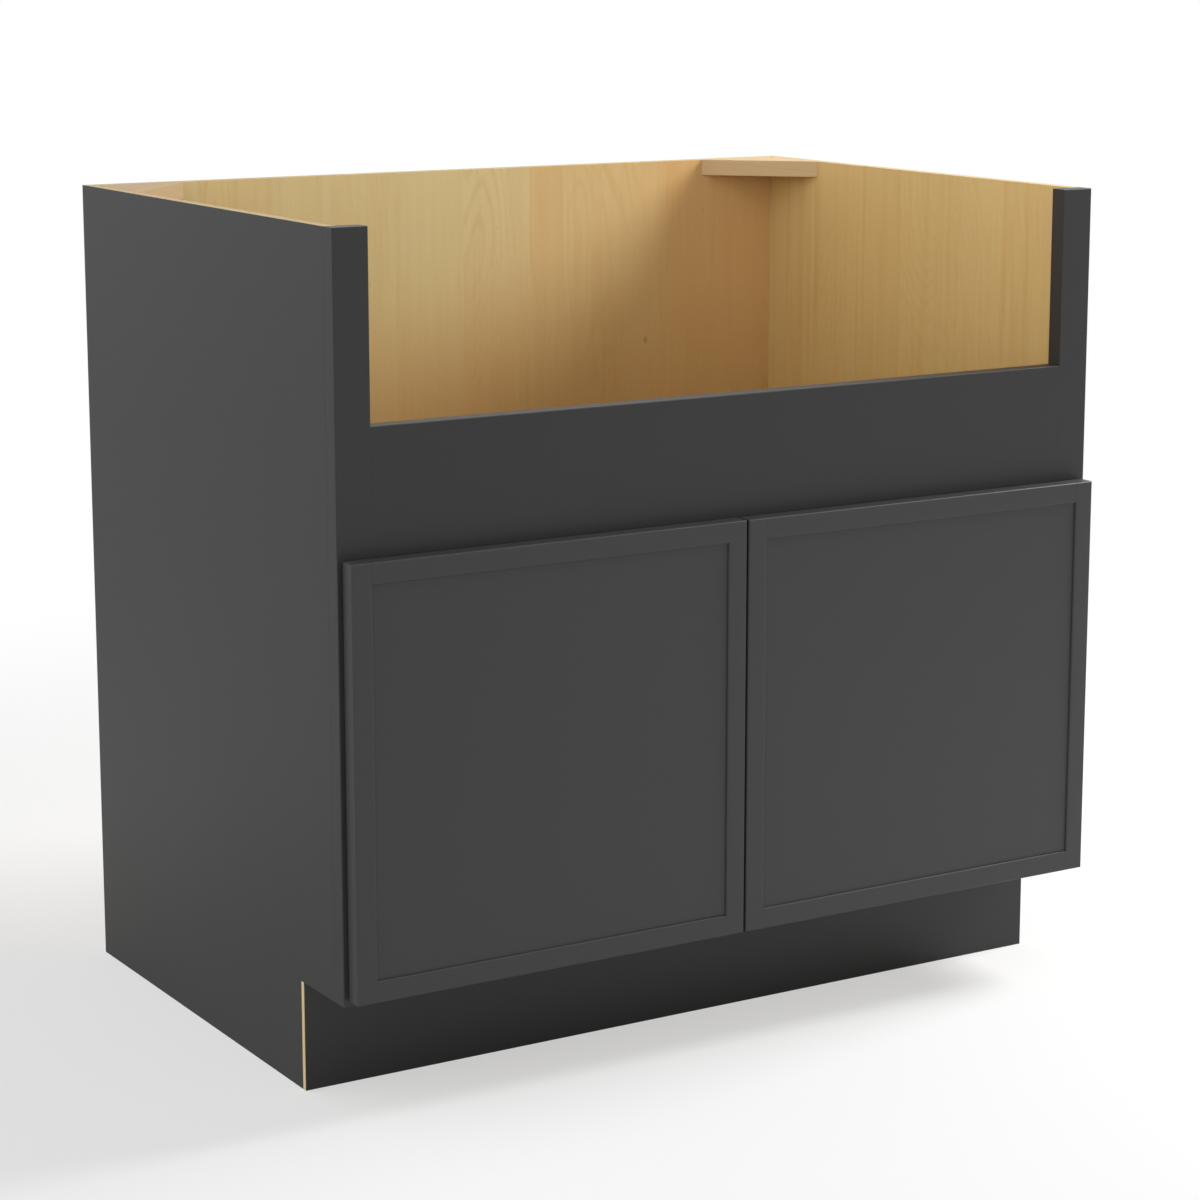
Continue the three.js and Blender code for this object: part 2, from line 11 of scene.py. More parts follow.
import bmesh
import bpy
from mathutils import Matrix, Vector


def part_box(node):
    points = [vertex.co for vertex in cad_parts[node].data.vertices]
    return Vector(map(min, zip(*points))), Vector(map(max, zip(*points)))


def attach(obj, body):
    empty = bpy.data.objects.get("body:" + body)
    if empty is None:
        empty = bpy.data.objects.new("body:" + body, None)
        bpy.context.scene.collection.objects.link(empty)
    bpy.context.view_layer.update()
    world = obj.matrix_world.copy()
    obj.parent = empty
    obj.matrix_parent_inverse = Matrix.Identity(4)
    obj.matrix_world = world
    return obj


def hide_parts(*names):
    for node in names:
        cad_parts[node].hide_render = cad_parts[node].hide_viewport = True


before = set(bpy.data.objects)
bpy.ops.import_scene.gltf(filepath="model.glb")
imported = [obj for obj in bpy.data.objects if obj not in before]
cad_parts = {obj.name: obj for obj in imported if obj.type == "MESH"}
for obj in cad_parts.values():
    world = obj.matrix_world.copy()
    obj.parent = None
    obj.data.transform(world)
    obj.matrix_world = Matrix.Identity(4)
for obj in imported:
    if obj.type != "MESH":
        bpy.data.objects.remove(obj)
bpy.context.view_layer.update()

# %% [markdown]
# ## Nodes written as sums
# Wood and paint are patterns that are worked out at each point of a surface. In Blender that is a
# tree of nodes, and a tree drawn by hand soon gets hard to read. Here a small class stands for one
# output socket and knows how to add, subtract, multiply and divide, so a pattern can be written as
# an ordinary sum. Every other node comes from one method, which sets the node up and then feeds it.

# %% Sockets and finishes
class Wire:
    """The output socket of a node, ready for arithmetic. It knows the finish that it is in."""

    def __init__(self, finish, socket):
        self.finish = finish
        self.socket = socket

    def maths(self, operation, first, second):
        return self.finish.node("Math", {"operation": operation}, {0: first, 1: second})

    def __add__(self, other):
        return self.maths("ADD", self, other)

    __radd__ = __add__

    def __sub__(self, other):
        return self.maths("SUBTRACT", self, other)

    def __rsub__(self, other):
        return self.maths("SUBTRACT", other, self)

    def __mul__(self, other):
        return self.maths("MULTIPLY", self, other)

    __rmul__ = __mul__

    def __truediv__(self, other):
        return self.maths("DIVIDE", self, other)

    def __pow__(self, other):
        return self.maths("POWER", self, other)


class Finish:
    """The node tree of a material or a world, and the one method that adds nodes to it."""

    def __init__(self, name, kind="materials"):
        self.owner = getattr(bpy.data, kind).new(name)
        self.owner.use_nodes = True
        self.tree = self.owner.node_tree
        self.tree.nodes.clear()

    def node(self, kind, settings=None, sockets=None, output=0):
        made = self.tree.nodes.new("ShaderNode" + kind)
        for key, value in (settings or {}).items():
            if key == "ramp":
                fill_ramp(made.color_ramp, *value)
            else:
                setattr(made, key, value)
        for key, value in (sockets or {}).items():
            if isinstance(value, Wire):
                self.tree.links.new(value.socket, made.inputs[key])
            else:
                made.inputs[key].default_value = value
        return Wire(self, made.outputs[output]) if made.outputs else None


def fill_ramp(ramp, interpolation, stops):
    """Gives a colour ramp its stops. A new ramp has two, which are used first."""
    ramp.interpolation = interpolation
    for i, (place, colour) in enumerate(stops):
        stop = ramp.elements[i] if i < 2 else ramp.elements.new(place)
        stop.position = place
        stop.color = (*colour, 1)


print("sums on sockets are ready")

# %% [markdown]
# ## The patterns that the finishes share
# All patterns read Object coordinates, which on these pieces are metres in the cabinet's own frame.
# A noise that is stretched along one direction gives wood its fibres, and one with even proportions
# gives the clouds and the slight unevenness of a sprayed coat. Colours go through Mix nodes. The
# plain numbers in a recipe say how fine a pattern is and how much of it goes in.

# %% Helpers for patterns
def own_place(finish):
    """The object's own coordinates, as one socket."""
    return finish.node("TexCoord", output="Object")


def axes(finish):
    """The same as three sockets: x, y and z."""
    place = own_place(finish)
    return [finish.node("SeparateXYZ", None, {0: place}, axis) for axis in "XYZ"]


def point(x, y, z):
    return x.finish.node("CombineXYZ", None, {0: x, 1: y, 2: z})


def noise(where, scale=1.0, detail=2.0, roughness=0.5, distortion=0.0):
    sockets = {"Vector": where, "Scale": scale, "Detail": detail, "Roughness": roughness}
    return where.finish.node("TexNoise", None, {**sockets, "Distortion": distortion})


def rise(value, low=0.0, high=1.0):
    """0 below low, 1 above high, and a smooth step between them."""
    sockets = {"Value": value, "From Min": low, "From Max": high}
    return value.finish.node("MapRange", {"interpolation_type": "SMOOTHSTEP"}, sockets)


def blend(share, first, second):
    """A colour between two colours. A plain tuple is taken as red, green and blue."""
    first, second = [(*c, 1) if isinstance(c, tuple) else c for c in (first, second)]
    sockets = {0: share, 6: first, 7: second}
    return share.finish.node("Mix", {"data_type": "RGBA"}, sockets, 2)


def shade(colour, strength):
    """A colour made darker or lighter by a number that is about 1."""
    grey = point(strength, strength, strength)
    return colour.finish.node("VectorMath", {"operation": "MULTIPLY"}, {0: colour, 1: grey})


def bump(height, depth):
    """Surface relief; depth is the height in metres that a value of 1 stands for."""
    return height.finish.node("Bump", None, {"Height": height, "Distance": depth})


def surface(finish, **sockets):
    """A surface fed through the sockets named, such as Base_Color."""
    named = {key.replace("_", " "): value for key, value in sockets.items()}
    return finish.node("BsdfPrincipled", None, named)


def coat(finish, **sockets):
    """A whole material of one such surface."""
    finish.node("OutputMaterial", None, {"Surface": surface(finish, **sockets)})
    return finish.owner


print("patterns are ready")

# %% [markdown]
# ## Charcoal paint
# The outside is sprayed with a satin charcoal lacquer. Close up such a coat has a fine orange peel,
# and its gloss and tone drift a little over a wide panel. One flat colour would look like plastic
# film, so the tone varies by a few percent in clouds, the gloss in finer ones, and a shallow bump
# gives the peel. The doors are sprayed in another batch than the box, on a smoother board, and come
# out a shade lighter, so the same recipe is mixed twice.

# %% Mix the charcoal paint
FRAME_SHADES = ((0.0215, 0.0215, 0.0219), (0.0241, 0.0241, 0.0244))
DOOR_SHADES = ((0.0325, 0.0325, 0.0330), (0.0357, 0.0357, 0.0361))
PEEL_DEPTH = 0.000012


def charcoal_paint(name, shades):
    """shades are the darkest and the lightest colour that the coat drifts between."""
    finish = Finish(name)
    place = own_place(finish)
    clouds = noise(place, 3.5, detail=3)
    mist = noise(place, 45, detail=3, roughness=0.6)
    peel = noise(place, 420)
    dust = noise(place, 2600, detail=1)
    return coat(
        finish,
        Base_Color=blend(0.7 * clouds + 0.3 * mist, *shades),
        Roughness=0.42 + 0.04 * clouds + 0.02 * mist + 0.03 * dust,
        Normal=bump(peel, PEEL_DEPTH),
        Specular_IOR_Level=0.35,
    )


paint = charcoal_paint("charcoal_paint_box", FRAME_SHADES)
door_paint = charcoal_paint("charcoal_paint_doors", DOOR_SHADES)
print("mixed", paint.name, "and", door_paint.name)

# %% [markdown]
# ## Maple veneer
# The inside is maple plywood under clear lacquer. Its face is made of narrow leaves laid edge to
# edge, and each leaf comes from another slice of the log, so tint and figure change at each seam.
# The back's veneer is paler than the sides' and has a small knot. It also carries painted shade:
# it turns ruddier and darker towards its foot and its right-hand corner, where the inside of the
# box lies in shade. Each of these is a mask, a number from 0 to 1 over the surface.

# %% Masks for leaves, knot and painted shade
GOLDEN_STEP = 0.618  # from leaf to leaf, so that no two neighbours are alike
KNOT_RADIUS = 0.0022
KNOT_STRETCH = 1.6  # how much longer a knot is along the grain
KNOT_FADE = (0.4, 4.0)  # in radii: where a knot's effect starts to fade, and where it ends
PAINTED_SHADE_HEIGHTS = (0.60, 0.88)  # the painted shade is full below the first height, and ends at the second
PAINTED_SHADE_SIDEWAYS = (0.04, 0.42)  # it starts at the first x, and is full to the right of the second
LEAF_DRIFT = 0.12  # how far those limits move from leaf to leaf


def single(operation, value):
    """A Math node that takes one value, such as ABSOLUTE or SINE."""
    return value.finish.node("Math", {"operation": operation}, {0: value})


def leaf_shades(position, seams):
    """A number from 0 to 1 that changes at each seam and holds across a leaf."""
    spread = seams[-1] - seams[0]
    shades = [(0.5 + GOLDEN_STEP * i) % 1 for i in range(len(seams) - 1)]
    steps = [((a - seams[0]) / spread, (s, s, s)) for a, s in zip(seams, shades)]
    share = (position - seams[0]) / spread
    return share.finish.node("ValToRGB", {"ramp": ("CONSTANT", steps)}, {0: share})


def knot_mask(across, along, place):
    """1 at a knot, and 0 a few radii away from it."""
    sideways = (across - place[0]) / KNOT_RADIUS
    lengthways = (along - place[1]) / (KNOT_STRETCH * KNOT_RADIUS)
    distance = single("SQRT", sideways * sideways + lengthways * lengthways)
    return 1 - rise(distance, *KNOT_FADE)


def painted_shade_share(across, along, leaf_shade):
    """Painted shade, as a share of the ruddy tone: most at the back's foot and towards its right."""
    drift = LEAF_DRIFT * leaf_shade
    low = 1 - rise(along + drift, *PAINTED_SHADE_HEIGHTS)
    right = rise(across + drift, *PAINTED_SHADE_SIDEWAYS)
    return low + right - low * right


print("a knot has a radius of", round(1000 * KNOT_RADIUS, 1), "mm")

# %% [markdown]
# ## The recipe of the veneer
# Every leaf has growth lines in long arches, fine fibres, brown streaks and short flecks. The
# arches are contour lines of a soft noise that is stretched along the grain: the noise is
# multiplied and its sine taken, which draws a line at each even step of its height. The faces
# that nobody sees in use get the sides' plainer veneer.

# %% Lay up maple veneer
SIDE_TONES = ((0.635, 0.457, 0.198), (0.558, 0.376, 0.138), (0.562, 0.350, 0.126))
BACK_TONES = ((0.690, 0.565, 0.292), (0.670, 0.505, 0.222), (0.660, 0.380, 0.143))
GROWTH_LINE = (0.500, 0.250, 0.060)
FLECK_BROWN = (0.340, 0.180, 0.070)
GROWTH_LINES = 26.0
FIBRE_DEPTH = 0.00002
LEAF_STEP = 7.0  # how far apart in the noise two leaves of opposite shade are read
DEPTH_STEP = 3.0  # and how far apart two faces a metre behind each other


def maple_veneer(name, across, along, seams, tones, figure, streaked, knot=None):
    """tones are the pale, the honey and the ruddy wood; with a knot also comes painted shade in the
    ruddy tone.

    figure is how dark the growth lines are, and streaked how dark the streaks are.
    """
    finish = Finish(name)
    pale, honey, ruddy = tones
    spots = dict(zip("xyz", axes(finish)))
    u, w = spots.pop(across), spots.pop(along)
    (through,) = spots.values()
    shift = leaf_shades(u, seams)
    leaf = shift * LEAF_STEP + through * DEPTH_STEP

    def grain(fineness, stretch, **settings):
        """Noise of `fineness` cycles a metre across the grain, and `stretch` times fewer along."""
        return noise(point(u * fineness, leaf, w * (fineness / stretch)), **settings)

    swell = grain(11, 5, detail=1.5, roughness=0.4)
    if knot:
        knot_share = knot_mask(u, w, knot)
        swell = swell + 0.05 * knot_share
    lines = rise(single("SINE", swell * (2 * math.pi * GROWTH_LINES)))
    figured = rise(grain(5, 3), 0.42, 0.60)
    fibres = grain(620, 60, detail=3)
    bands = grain(95, 90)
    streaks = rise(grain(70, 30), 0.44, 0.70)
    flecks = rise(grain(800, 9, detail=1), 0.70, 0.80)
    clouds = noise(point(u, leaf, w), 4.5)

    colour = blend(0.10 + 0.25 * shift + 0.60 * bands, pale, honey)
    colour = blend(0.2 * rise(clouds, 0.45, 0.75) * shift, colour, ruddy)
    if knot:
        # Painted shade: ruddier and darker towards the back's foot and right-hand corner, where the
        # box is shaded inside.
        colour = blend(0.85 * painted_shade_share(u, w, shift), colour, ruddy)
    colour = blend(figure * lines * figured, colour, GROWTH_LINE)
    colour = blend(streaked * streaks, colour, GROWTH_LINE)
    colour = blend(0.35 * flecks, colour, FLECK_BROWN)
    if knot:
        colour = blend(0.5 * rise(knot_share, 0.75, 1.0), colour, FLECK_BROWN)
    colour = shade(colour, 0.95 + 0.10 * fibres)
    return coat(
        finish,
        Base_Color=colour,
        Roughness=0.43 + 0.10 * fibres - 0.04 * lines,
        Normal=bump(fibres, FIBRE_DEPTH),
        Specular_IOR_Level=0.4,
    )


SIDE_SEAMS = [-0.30, -0.17, -0.086, -0.037, 0.03, 0.118, 0.205, 0.32]
BACK_SEAMS = [-0.46, -0.40, -0.32, -0.235, -0.163, -0.08, 0.01, 0.10, 0.144, 0.20, 0.29, 0.37, 0.46]
DECK_SEAMS = [-0.30, -0.19, -0.07, 0.04, 0.15, 0.24, 0.33]
KNOT_PLACE = (0.263, 0.660)

side_veneer = maple_veneer("maple_veneer_sides", "y", "z", SIDE_SEAMS, SIDE_TONES, 0.13, 0.25)
back_veneer = maple_veneer(
    "maple_veneer_back", "x", "z", BACK_SEAMS, BACK_TONES, 0.19, 0.10, KNOT_PLACE
)
rear_veneer = maple_veneer("maple_veneer_rear", "x", "z", BACK_SEAMS, SIDE_TONES, 0.16, 0.15)
deck_veneer = maple_veneer("maple_veneer_deck", "y", "x", DECK_SEAMS, SIDE_TONES, 0.16, 0.15)
print("laid up", side_veneer.name, back_veneer.name, rear_veneer.name, deck_veneer.name)

# %% [markdown]
# ## Sawn plywood edges
# Where a panel is sawn, its plies show: every second one is cut across its fibres, which looks
# darker and rougher, with a thin brown glue line between. A colour ramp with hard steps holds the
# whole stack. It is read by how deep a point lies in the panel, so it fits any panel thickness.

# %% Stack the plies
LONG_PLY = (0.620, 0.500, 0.280)
CROSS_PLY = (0.510, 0.385, 0.195)
GLUE_LINE = (0.330, 0.215, 0.105)
FACE_PLY_SHARE = 0.05
GLUE_SHARE = 0.008
PLY_WAVE = 0.03  # how far the layers wander, as a share of the panel
PORE_DEPTH = 0.00006


def ply_steps(plies):
    """The stops of a ramp from one face of the panel to the other."""
    inner = (1 - 2 * FACE_PLY_SHARE) / (plies - 2)
    starts = [0.0] + [FACE_PLY_SHARE + inner * i for i in range(plies - 1)]
    steps = []
    for i, start in enumerate(starts):
        if i:
            steps.append((start - GLUE_SHARE, GLUE_LINE))
        steps.append((start, CROSS_PLY if i % 2 else LONG_PLY))
    return steps


def ply_edge(name, node, axis, plies=9, both_sides=False):
    """Layers stacked through a panel along an axis. With both_sides, x counts from 0 outwards."""
    finish = Finish(name)
    place = own_place(finish)
    level = finish.node("SeparateXYZ", None, {0: place}, axis.upper())
    if both_sides:
        level = single("ABSOLUTE", level)
    face, far_face = (getattr(corner, axis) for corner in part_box(node))
    wave = PLY_WAVE * (noise(place, 60) - 0.5)
    depth = (level - face) / (far_face - face) + wave
    layers = finish.node("ValToRGB", {"ramp": ("CONSTANT", ply_steps(plies))}, {0: depth})
    pores = noise(place, 1500)
    patches = noise(place, 24)
    print(name, "has plies of", round(1000 * (far_face - face) / plies, 2), "mm")
    return coat(
        finish,
        Base_Color=shade(layers, 0.80 + 0.18 * pores + 0.22 * patches),
        Roughness=0.66 + 0.12 * pores,
        Normal=bump(pores, PORE_DEPTH),
        Specular_IOR_Level=0.3,
    )


side_edge = ply_edge("ply_edge_sides", "side_panel_right", "x", both_sides=True)
back_edge = ply_edge("ply_edge_back", "back_panel", "y")
deck_edge = ply_edge("ply_edge_deck", "bottom_panel", "z")
skin_edge = ply_edge("ply_edge_skin", "toe_kick_skin", "y", plies=5)
backer_edge = ply_edge("ply_edge_backer", "toe_kick_backer", "y")

# %% [markdown]
# ## Solid maple
# The triangular blocks in the back corners are sawn from solid maple, a little pinker than the
# veneer. Their grain runs along the long slanting face. The direction is worked out from x and y:
# the distance from the middle plane minus y runs along that face in either corner, because one
# block mirrors the other. They come from two boards, and the left one is a little darker.

# %% Saw solid maple
BLOCK_PALE = (0.620, 0.435, 0.230)
BLOCK_PINK = (0.540, 0.360, 0.180)
BLOCK_LINE = (0.400, 0.235, 0.110)
BLOCK_RINGS = 38
DIAGONAL = math.sqrt(0.5)


def solid_maple(name, depth):
    """depth makes the wood darker where it is below 1."""
    finish = Finish(name)
    x, y, z = axes(finish)
    out = single("ABSOLUTE", x)
    along = (out - y) * DIAGONAL
    across = (out + y) * DIAGONAL
    place = point(across * 26, z * 40 + x * 2, along * 2.5)
    rings = noise(place, detail=1.5, distortion=0.3)
    wave = rise(single("SINE", rings * BLOCK_RINGS))
    fibres = noise(point(across * 700, z * 700, along * 14), detail=3)
    colour = blend(0.30 + 0.25 * wave, BLOCK_PALE, BLOCK_PINK)
    streaks = rise(noise(point(across * 90, z * 110, along * 5)), 0.58, 0.75)
    colour = blend(0.25 * streaks, colour, BLOCK_LINE)
    return coat(
        finish,
        Base_Color=shade(colour, depth * (0.93 + 0.14 * fibres)),
        Roughness=0.50 + 0.10 * fibres,
        Normal=bump(fibres, FIBRE_DEPTH),
        Specular_IOR_Level=0.35,
    )


block_maple = {
    "left": solid_maple("solid_maple_left", 0.78),
    "right": solid_maple("solid_maple_right", 1.0),
}
print("sawn two boards of solid maple")

# %% [markdown]
# ## Steel and rubber
# The hinges are pressed from steel strip and plated with nickel: bright, slightly brushed along
# their length and a little cloudy. Screws are zinc plated, which is greyer and bluer. The bumpers
# are drops of clear rubber that look milky. All three differ by small changes of gloss, so
# roughness does more here than colour.

# %% Plate the steel and cast the rubber
NICKEL = (0.600, 0.590, 0.570)
NICKEL_CLOUDED = (0.520, 0.510, 0.490)
ZINC = (0.500, 0.515, 0.535)
ZINC_CLOUDED = (0.400, 0.410, 0.430)
RUBBER_CLEAR = (0.560, 0.570, 0.560)
RUBBER_MILKY = (0.680, 0.690, 0.680)
BRUSHING_DEPTH = 0.000004


def plated_steel(name, bright, clouded, roughness):
    finish = Finish(name)
    x, y, z = axes(finish)
    clouds = noise(own_place(finish), 160, detail=3)
    brushing = noise(point(x * 900, y * 900, z * 9000), detail=1)
    return coat(
        finish,
        Base_Color=blend(clouds, bright, clouded),
        Metallic=1.0,
        Roughness=roughness + 0.10 * clouds + 0.06 * brushing,
        Normal=bump(brushing, BRUSHING_DEPTH),
    )


def clear_rubber(name):
    finish = Finish(name)
    clouds = noise(own_place(finish), 400)
    return coat(
        finish,
        Base_Color=blend(clouds, RUBBER_CLEAR, RUBBER_MILKY),
        Roughness=0.30 + 0.15 * clouds,
    )


nickel = plated_steel("nickel_plate", NICKEL, NICKEL_CLOUDED, 0.22)
zinc = plated_steel("zinc_plate", ZINC, ZINC_CLOUDED, 0.30)
rubber = clear_rubber("clear_rubber")
print("plated", nickel.name, zinc.name, "and cast", rubber.name)

# %% [markdown]
# ## Starting a board and picking its faces
# Every board starts as a cube primitive with the size and place of its CAD node. An operator acts
# on all that is selected, so each helper first clears the selection and then picks faces or edges
# by where they are and which way they point.

# %% Start and pick
HAIR = 0.00002  # two places nearer than this, in metres, count as one
STRAIGHT = 0.9  # a direction with this much of an axis in it counts as pointing along that axis


def near(a, b):
    return abs(a - b) < HAIR


def facing(axis, sign=0):
    """A test for what points along an axis: forwards for 1, backwards for -1, either way for 0."""

    def test(at, way):
        share = getattr(way, axis)
        return (share * sign if sign else abs(share)) > STRAIGHT

    return test


def level_with(axis, value):
    """A test for what lies at one value of an axis."""
    return lambda at, way: near(getattr(at, axis), value)


def only(piece):
    """Selects one object and nothing else."""
    bpy.ops.object.select_all(action="DESELECT")
    piece.select_set(True)
    bpy.context.view_layer.objects.active = piece


def settle(name):
    """Names the new object, and puts its place, turn and scale into its mesh."""
    piece = bpy.context.object
    piece.name = name
    only(piece)
    bpy.ops.object.transform_apply(location=True, rotation=True, scale=True)
    return piece


def start_block(name, low, high):
    """A cube primitive between two corners."""
    bpy.ops.object.select_all(action="DESELECT")
    middle = [(a + b) / 2 for a, b in zip(low, high)]
    size = [abs(b - a) for a, b in zip(low, high)]
    bpy.ops.mesh.primitive_cube_add(size=1, location=middle, scale=size)
    return settle(name)


def pick(piece, kind, test):
    """In edit mode: selects the faces or edges whose middle and direction pass a test."""
    bpy.ops.mesh.select_mode(type=kind)
    bpy.ops.mesh.select_all(action="DESELECT")
    mesh = bmesh.from_edit_mesh(piece.data)
    mesh.normal_update()
    for part in mesh.faces if kind == "FACE" else mesh.edges:
        if kind == "FACE":
            middle, way = part.calc_center_median(), part.normal
        else:
            a, b = (corner.co for corner in part.verts)
            middle, way = (a + b) / 2, (b - a).normalized()
        if test(middle, way):
            part.select_set(True)
    bmesh.update_edit_mesh(piece.data)


print("places within", HAIR, "m count as one")

# %% [markdown]
# ## Working and finishing a board
# A board is worked in edit mode as it would be at the bench: sawn (bisect), built out (extrude) and
# eased along its edges (bevel). Then it gets its finishes and is tied to its body. Where left and
# right mirror each other, only the left piece is worked, and the right one is a mirrored copy.

# %% Work and finish
SMOOTH_ANGLE = math.radians(50)
SHARP_ANGLE = math.radians(35)


def begin_edit(piece):
    only(piece)
    bpy.ops.object.mode_set(mode="EDIT")


def begin_edit_all(piece):
    begin_edit(piece)
    bpy.ops.mesh.select_all(action="SELECT")


def end_edit():
    bpy.ops.object.mode_set(mode="OBJECT")


def saw(piece, spot, normal, keep="both"):
    """Cuts all faces along a plane. keep="below" also throws away what lies ahead of the cut."""
    begin_edit_all(piece)
    away = keep == "below"
    bpy.ops.mesh.bisect(plane_co=spot, plane_no=normal, use_fill=away, clear_outer=away)
    end_edit()


def extrude(step):
    bpy.ops.mesh.extrude_region_move(TRANSFORM_OT_translate={"value": step})


def build_out(piece, test, step):
    """Extrudes the faces that pass a test by a step (x, y, z)."""
    begin_edit(piece)
    pick(piece, "FACE", test)
    extrude(step)
    end_edit()


def ease(piece, width, test=None, segments=2):
    """Rounds edges: those that pass a test, or every sharp one."""
    begin_edit(piece)
    if test:
        pick(piece, "EDGE", test)
    else:
        bpy.ops.mesh.select_mode(type="EDGE")
        bpy.ops.mesh.select_all(action="DESELECT")
        bpy.ops.mesh.edges_select_sharp(sharpness=SHARP_ANGLE)
    bpy.ops.mesh.bevel(offset=width, segments=segments, profile=0.5, affect="EDGES")
    end_edit()


def apply_modifier(piece, kind, **settings):
    only(piece)
    bpy.ops.object.modifier_add(type=kind)
    modifier = piece.modifiers[-1]
    for key, value in settings.items():
        setattr(modifier, key, value)
    bpy.ops.object.modifier_apply(modifier=modifier.name)


def dress(piece, finish, *others):
    """One finish all over, then others on the faces that pass their test."""
    piece.data.materials.clear()
    piece.data.materials.append(finish)
    for index, (other, test) in enumerate(others, start=1):
        piece.data.materials.append(other)
        for face in piece.data.polygons:
            if test(face.center, face.normal):
                face.material_index = index


def complete(piece, body, slot, *nodes):
    """Smooths the rounded edges only, ties the piece to its body and hides the CAD nodes it stands in
    for. slot is not used.
    """
    only(piece)
    bpy.ops.object.shade_smooth_by_angle(angle=SMOOTH_ANGLE)
    apply_modifier(piece, "WEIGHTED_NORMAL", keep_sharp=True)
    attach(piece, body)
    if nodes:
        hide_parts(*nodes)


def copy_of(piece, name):
    only(piece)
    bpy.ops.object.duplicate()
    copy = bpy.context.object
    copy.name = name
    return copy


def both(left_piece):
    """A left-hand piece and its mirror image across x = 0, each after its side's word."""
    twin = copy_of(left_piece, left_piece.name.replace("left", "right"))
    begin_edit_all(twin)
    bpy.ops.transform.resize(value=(-1, 1, 1), center_override=(0, 0, 0))
    bpy.ops.mesh.normals_make_consistent(inside=False)
    end_edit()
    return ("left", left_piece), ("right", twin)


print("bench is ready")

# %% [markdown]
# ## Side panels
# A side panel is 12.7 mm plywood with a notch for the toes at its lower front corner. The cube is
# made as deep as the panel is below the notch. It is then sawn at the notch's height, and the part
# above is pulled forward to the face frame. The outside is painted before the panel is sawn to
# size, so the paint stops at the outer face and all sawn edges stay bare.

# %% Side panels
SAWN_EDGE_EASE = 0.0004
PAINT_WRAP = 0.2  # paint reaches round an edge until it faces outwards by less than this
SIDES = {"left": -1, "right": 1}
skin_back, toe_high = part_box("toe_kick_skin")[1].yz
left_low, left_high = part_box("side_panel_left")

left_side = start_block("side_panel_left_board", (left_low.x, skin_back, left_low.z), left_high)
saw(left_side, (0, 0, toe_high), (0, 0, 1))
build_out(
    left_side,
    lambda at, way: way.y < -STRAIGHT and at.z > toe_high,
    (0, left_low.y - skin_back, 0),
)
ease(left_side, SAWN_EDGE_EASE)
for word, board in both(left_side):
    side = SIDES[word]
    outside = (paint, lambda at, way, side=side: way.x * side > PAINT_WRAP)
    dress(board, side_edge, outside, (side_veneer, facing("x", -side)))
    complete(board, "cabinet", "charcoal_paint", f"side_panel_{word}")
print("side panels of", len(left_side.data.polygons), "faces")

# %% [markdown]
# ## Back, bottom and toe kick
# These boards are plain rectangles, so what matters is which face carries which finish. The back
# stands between the sides, with its best veneer towards the sink and a plainer one behind. The
# bottom lies between back and face frame. The toe kick is two boards: a backer that carries the
# load, and in front of it a thin painted skin that laps over both side panels, whose bare ends
# show as two pale strips.

# %% Plain panels
SKIN_PAINT_WRAP = 0.5


def panel(node, edge_finish, slot, *faces):
    board = start_block(node + "_board", *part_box(node))
    ease(board, SAWN_EDGE_EASE)
    dress(board, edge_finish, *faces)
    complete(board, "cabinet", slot, node)


behind = (rear_veneer, facing("y", 1))
panel("back_panel", back_edge, "maple_ply", (back_veneer, facing("y", -1)), behind)
panel("bottom_panel", deck_edge, "maple_ply", (deck_veneer, facing("z")))
panel("toe_kick_backer", backer_edge, "maple_ply", (rear_veneer, facing("y")))
in_front = (paint, lambda at, way: way.y < -SKIN_PAINT_WRAP)
panel("toe_kick_skin", skin_edge, "charcoal_paint", in_front, behind)
print("back, bottom, backer and skin are in")

# %% [markdown]
# ## Corner blocks
# Each back corner is held square by a triangular block, level with the panel tops, with the corner
# that points into the joint clipped off. A square block is sawn twice: once along the slanting
# face and once at the clip, which leaves the small dark hole behind it.

# %% Corner blocks
BLOCK_EASE = 0.0007
block_low, block_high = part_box("corner_block_back_left")
block_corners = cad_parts["corner_block_back_left"].data.vertices
outermost, clipped = sorted({round(corner.co.x, 5) for corner in block_corners})[:2]
CLIP = clipped - outermost

left_block = start_block("corner_block_back_left_wood", block_low, block_high)
saw(left_block, (block_low.x, block_low.y, 0), (1, -1, 0), keep="below")
saw(left_block, (block_low.x + CLIP, block_high.y, 0), (-1, 1, 0), keep="below")
ease(left_block, BLOCK_EASE)
for word, wood in both(left_block):
    dress(wood, block_maple[word])
    complete(wood, "cabinet", "solid_maple", f"corner_block_back_{word}")
print("corner blocks clipped by", round(1000 * CLIP, 1), "mm")

# %% [markdown]
# ## Face frame
# The frame is solid wood, sanded flat and then sprayed, so its outer edges are softly rounded and
# its joints show at most as a hair line. A wider bevel goes on the edges that a hand can reach, and
# a very narrow one all round, which draws those hair lines where a rail meets a stile.

# %% Face frame
FRAME_ROUND = 0.0011
JOINT_EASE = 0.00010
stile_low, stile_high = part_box("frame_stile_left")
apron_low, apron_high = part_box("apron_rail")
foot_rail_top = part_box("frame_bottom_rail")[1].z

left_stile = start_block("frame_stile_left_board", stile_low, stile_high)
for height in (foot_rail_top, apron_low.z, apron_high.z):
    saw(left_stile, (0, 0, height), (0, 0, 1))


def open_edge(at, way):
    """The stile's front edges, but not where a rail butts against them."""
    against_rail = near(at.x, stile_high.x) and (
        apron_low.z < at.z < apron_high.z or at.z < foot_rail_top
    )
    upright = abs(way.z) > STRAIGHT
    at_end = near(at.z, stile_low.z) or near(at.z, stile_high.z)
    return near(at.y, stile_low.y) and not (against_rail and upright) and (upright or at_end)


ease(left_stile, FRAME_ROUND, open_edge, segments=3)
ease(left_stile, JOINT_EASE)
for word, board in both(left_stile):
    dress(board, paint)
    complete(board, "cabinet", "charcoal_paint", f"frame_stile_{word}")

